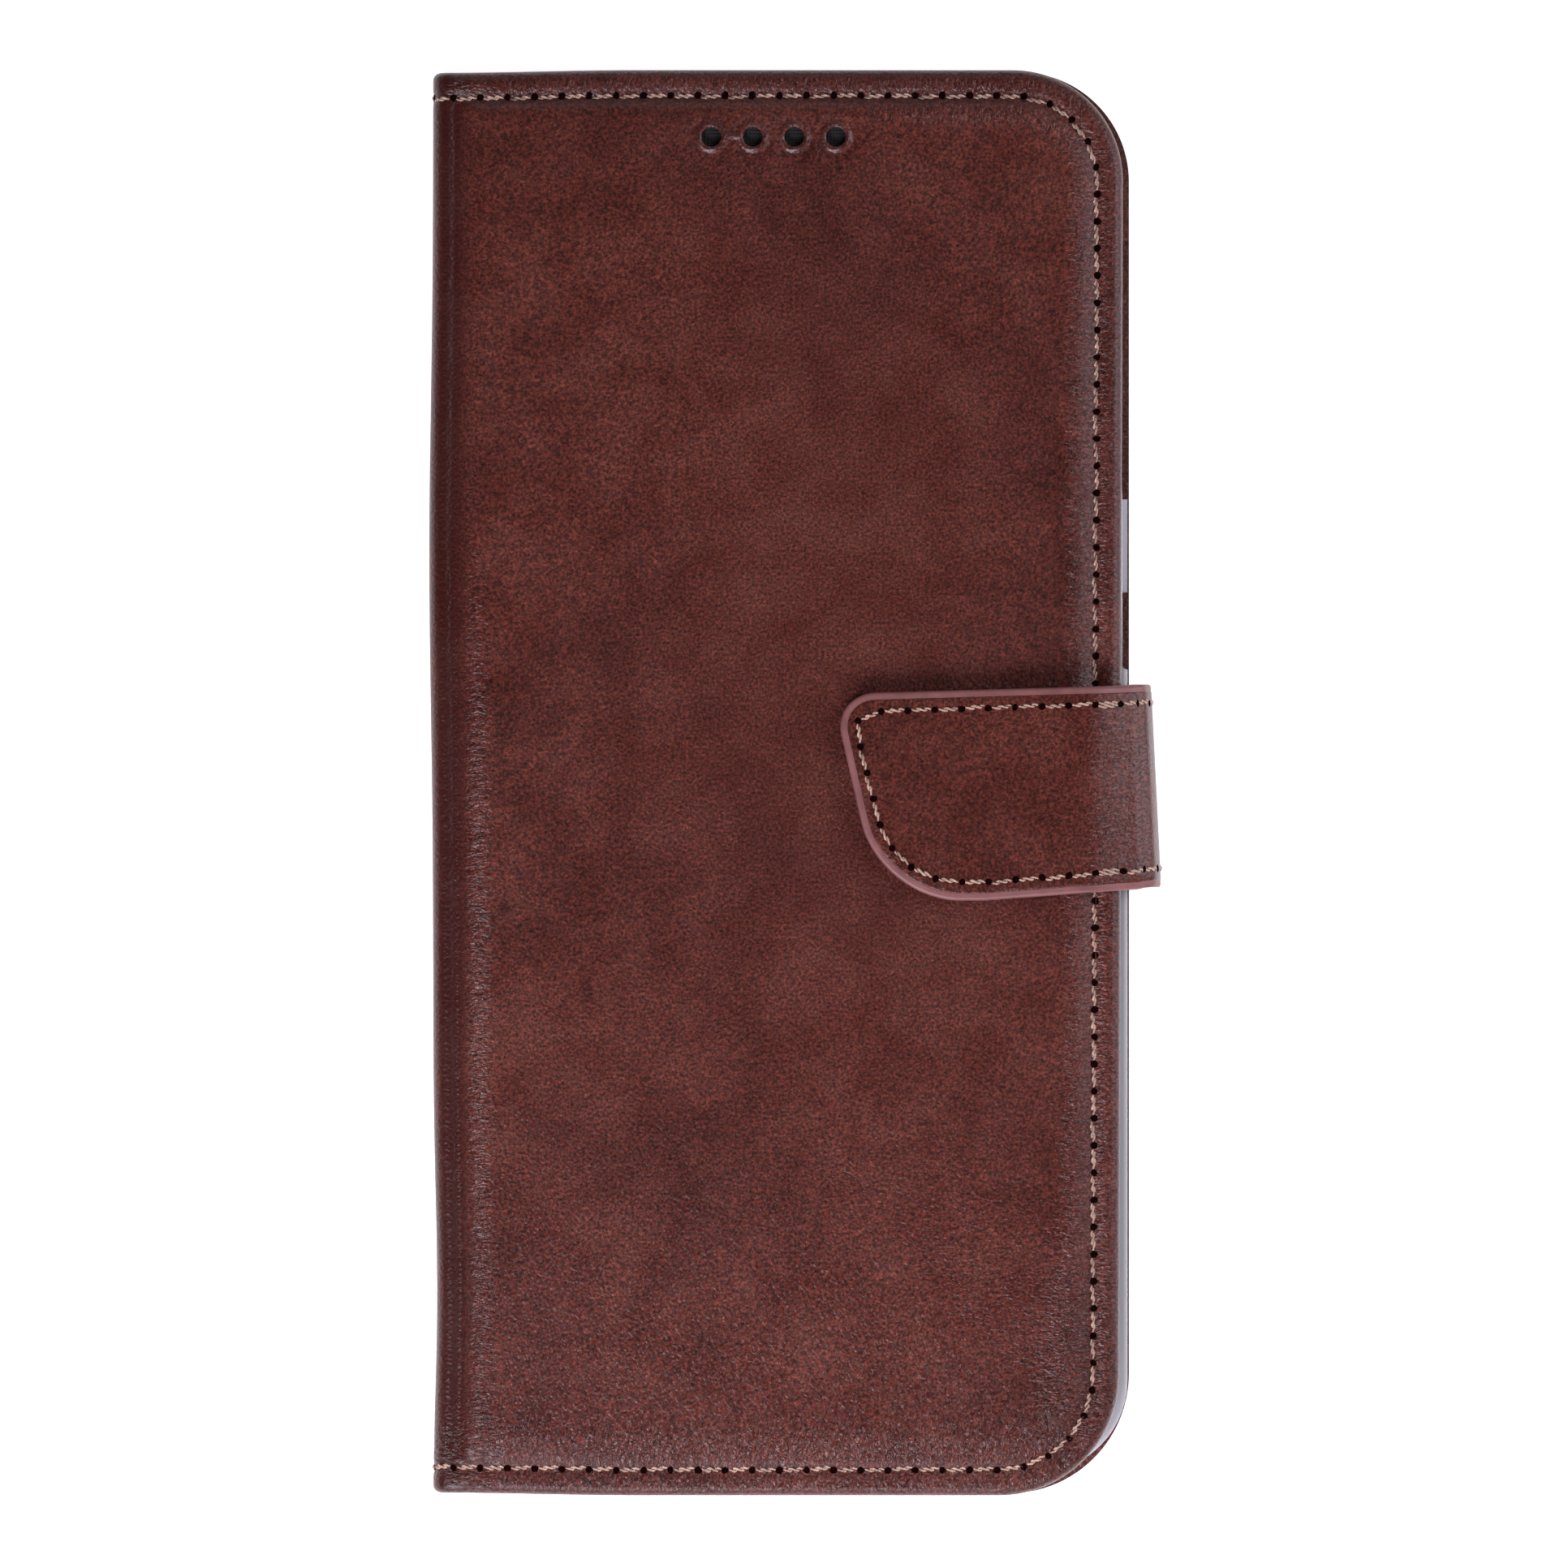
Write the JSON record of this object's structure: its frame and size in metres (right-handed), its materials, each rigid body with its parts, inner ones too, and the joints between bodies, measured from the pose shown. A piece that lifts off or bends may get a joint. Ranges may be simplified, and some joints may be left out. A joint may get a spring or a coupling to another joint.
{
  "type": "phone wallet case",
  "caption": "Book-style leather phone wallet case, closed, with a stitched padded cover, a clear inner phone tray, card pockets and a magnetic strap.",
  "frame": {"origin": "centre of the back cover's flat outer face, midway between the spine's face and the opening edge and midway between the ends", "axes": "+Z out of the front cover, +X from the spine to the opening edge, +Y towards the earpiece end"},
  "size_m": [0.0853, 0.1682, 0.0218],
  "materials": {
    "leather_brown": "grained satin, cloudy brown",
    "leather_lining": "smooth matte brown",
    "thread": "twisted beige polyester thread",
    "board": "grey-brown board",
    "foam": "thin soft padding",
    "clear_tpu": "clear flexible plastic",
    "adhesive": "thin adhesive sheet",
    "mesh": "fine black woven mesh",
    "steel": "thin plated steel",
    "magnet": "nickel-plated magnet"
  },
  "bodies": {
    "back": {"back_outer_skin": "leather_brown", "back_stiffener_board": "board", "back_lining": "leather_lining", "back_seam_thread": "thread", "tray_adhesive_pad": "adhesive", "phone_tray": "clear_tpu", "strap_root": "leather_brown"},
    "power_key": {"tray_power_key": "clear_tpu"},
    "volume_key": {"tray_volume_key": "clear_tpu"},
    "spine": {"spine_outer_skin": "leather_brown", "spine_stiffener_strip": "board", "spine_lining": "leather_lining", "spine_seam_thread": "thread"},
    "front": {"front_outer_skin": "leather_brown", "front_foam_pad": "foam", "front_stiffener_board": "board", "speaker_mesh": "mesh", "clasp_keeper_plate": "steel", "front_lining": "leather_lining", "front_seam_thread": "thread", "cash_pocket_panel": "leather_lining", "card_pocket_panel_1": "leather_lining", "card_pocket_panel_2": "leather_lining", "card_pocket_panel_3": "leather_lining", "pocket_seam_thread": "thread"},
    "strap_side": {"strap_side_outer": "leather_brown", "strap_side_lining": "leather_lining", "strap_side_thread": "thread"},
    "strap_tab": {"strap_tab_outer": "leather_brown", "strap_tab_core": "board", "strap_magnets": "magnet", "strap_tab_lining": "leather_lining", "strap_tab_thread": "thread"}
  },
  "joints": [
    {"name": "spine_fold", "type": "hinge", "parent": "back", "child": "spine", "pos_m": [-0.04105, 0, 0], "axis": [0, -1, 0], "range_deg": [0, 90]},
    {"name": "cover_fold", "type": "hinge", "parent": "spine", "child": "front", "pos_m": [-0.04105, 0, 0.0189], "axis": [0, -1, 0], "range_deg": [0, 90]},
    {"name": "strap_swing", "type": "hinge", "parent": "back", "child": "strap_side", "pos_m": [0.04425, 0, 0.0008], "axis": [0, 1, 0], "range_deg": [0, 90]},
    {"name": "tab_fold", "type": "hinge", "parent": "strap_side", "child": "strap_tab", "pos_m": [0.04425, 0, 0.0218], "axis": [0, 1, 0], "range_deg": [0, 90]},
    {"name": "power_key_press", "type": "slide", "parent": "back", "child": "power_key", "axis": [-1, 0, 0], "range_m": [0, 0.0005], "stiffness_N_per_m": 3000},
    {"name": "volume_key_press", "type": "slide", "parent": "back", "child": "volume_key", "axis": [1, 0, 0], "range_m": [0, 0.0005], "stiffness_N_per_m": 3000}
  ]
}
